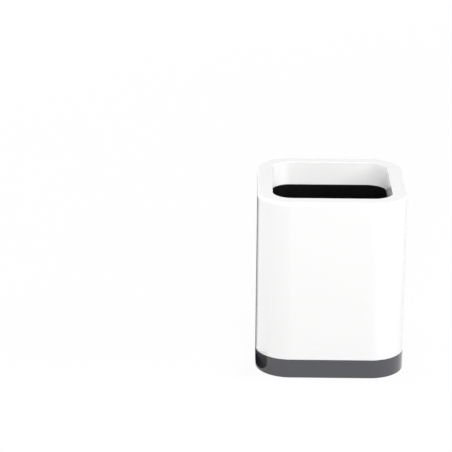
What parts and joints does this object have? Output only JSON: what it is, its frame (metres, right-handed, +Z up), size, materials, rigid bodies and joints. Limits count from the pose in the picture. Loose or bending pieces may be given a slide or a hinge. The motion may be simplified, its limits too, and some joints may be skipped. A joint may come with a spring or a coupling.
{
  "type": "pen holder",
  "caption": "Square desk pen cup with rounded corners and a wide flat rim: white gloss sleeve, black inner cup and dark grey base band on rubber feet.",
  "frame": {"origin": "on the table, under the middle of the cup, level with the soles of the feet", "axes": "+Z up out of the mouth; -Y is the front, the side that faces the camera in the picture; +X is to the right seen from the front"},
  "size_m": [0.085, 0.085, 0.1055],
  "materials": {
    "white_gloss_plastic": "high gloss white moulded plastic",
    "black_gloss_plastic": "smooth gloss black moulded plastic",
    "dark_grey_plastic": "smooth dark grey moulded plastic with a soft gloss",
    "black_rubber": "matt black rubber"
  },
  "bodies": {
    "root": {"sleeve": "white_gloss_plastic", "liner": "black_gloss_plastic", "base": "dark_grey_plastic", "foot_front_left": "black_rubber", "foot_front_right": "black_rubber", "foot_back_right": "black_rubber", "foot_back_left": "black_rubber"}
  },
  "joints": []
}
